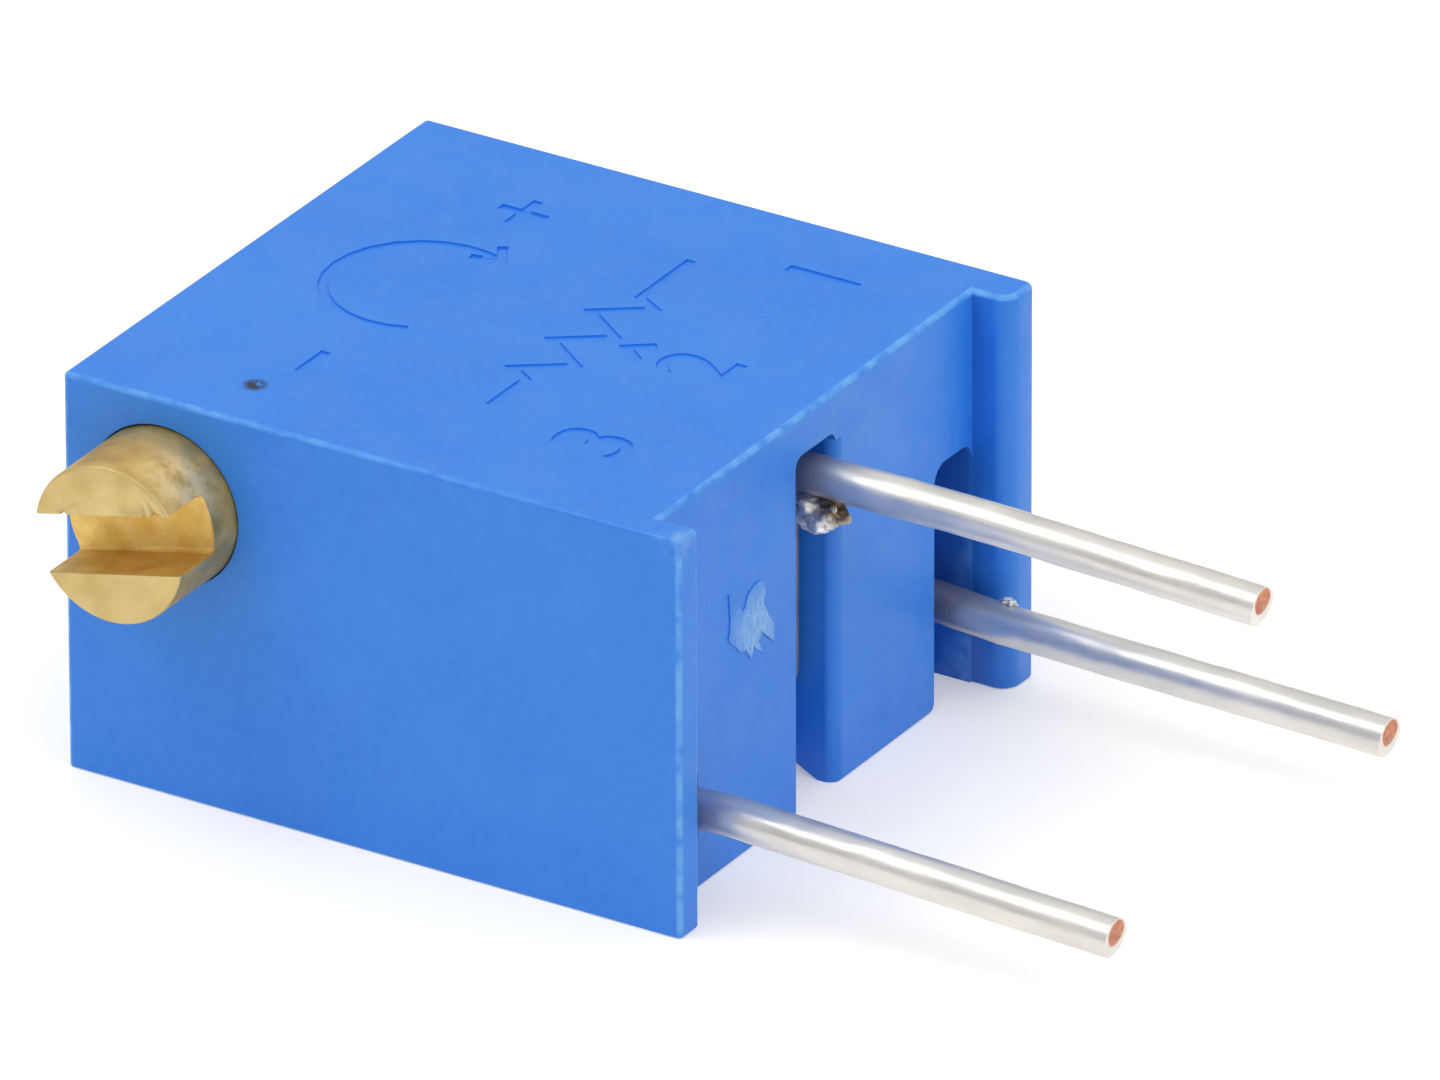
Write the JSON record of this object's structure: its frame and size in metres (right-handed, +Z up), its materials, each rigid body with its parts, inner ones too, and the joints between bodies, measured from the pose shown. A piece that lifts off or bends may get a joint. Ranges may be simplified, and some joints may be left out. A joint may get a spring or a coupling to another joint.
{
  "type": "trimmer potentiometer",
  "caption": "Square side-adjusted multi-turn trimmer: moulded case, slotted brass worm screw, worm wheel with wiper over a printed resistance track, and wire pins.",
  "frame": {"origin": "middle of the resting face, under the middle of the moulded case without its standoffs, in line with the middle pin", "axes": "+X out along the pins, +Y from the screw face towards the far side, +Z up through the marked face"},
  "size_m": [0.0116, 0.0076, 0.0043],
  "materials": {
    "case_plastic": "fine moulded satin",
    "sealing_resin": "glossy cast resin",
    "turned_brass": "turned, dull",
    "seal_rubber": "matte",
    "clip_steel": "stamped",
    "rotor_plastic": "moulded",
    "wiper_alloy": "bright stamped",
    "ceramic": "matte alumina",
    "cermet_ink": "fired thick film",
    "silver_ink": "fired thick film",
    "tinned_wire": "tin plated",
    "solder": "dull solder"
  },
  "bodies": {
    "case": {"housing": "case_plastic", "bottom_seal": "sealing_resin", "screw_clip": "clip_steel", "substrate": "ceramic", "resistance_track": "cermet_ink", "collector_track": "silver_ink", "end_pad_1": "silver_ink", "end_pad_3": "silver_ink", "pin_1": "tinned_wire", "pin_2": "tinned_wire", "pin_3": "tinned_wire", "solder_1": "solder", "solder_2": "solder", "solder_3": "solder", "solder_bead": "solder"},
    "screw": {"adjustment_screw": "turned_brass", "screw_o_ring": "seal_rubber"},
    "rotor": {"worm_wheel": "rotor_plastic", "wiper": "wiper_alloy"}
  },
  "joints": [
    {"name": "screw_turn", "type": "hinge", "parent": "case", "child": "screw", "pos_m": [-0.00215, 0, 0.00315], "axis": [0, 1, 0], "range_deg": [-2160, 2160]},
    {"name": "rotor_turn", "type": "hinge", "parent": "case", "child": "rotor", "pos_m": [0.00017, 0.0002, 0.00315], "axis": [0, 0, 1], "range_deg": [-144.1, 144.1]}
  ],
  "couplings": [
    {"joint": "rotor_turn", "follows": "screw_turn", "ratio": 0.066667}
  ]
}
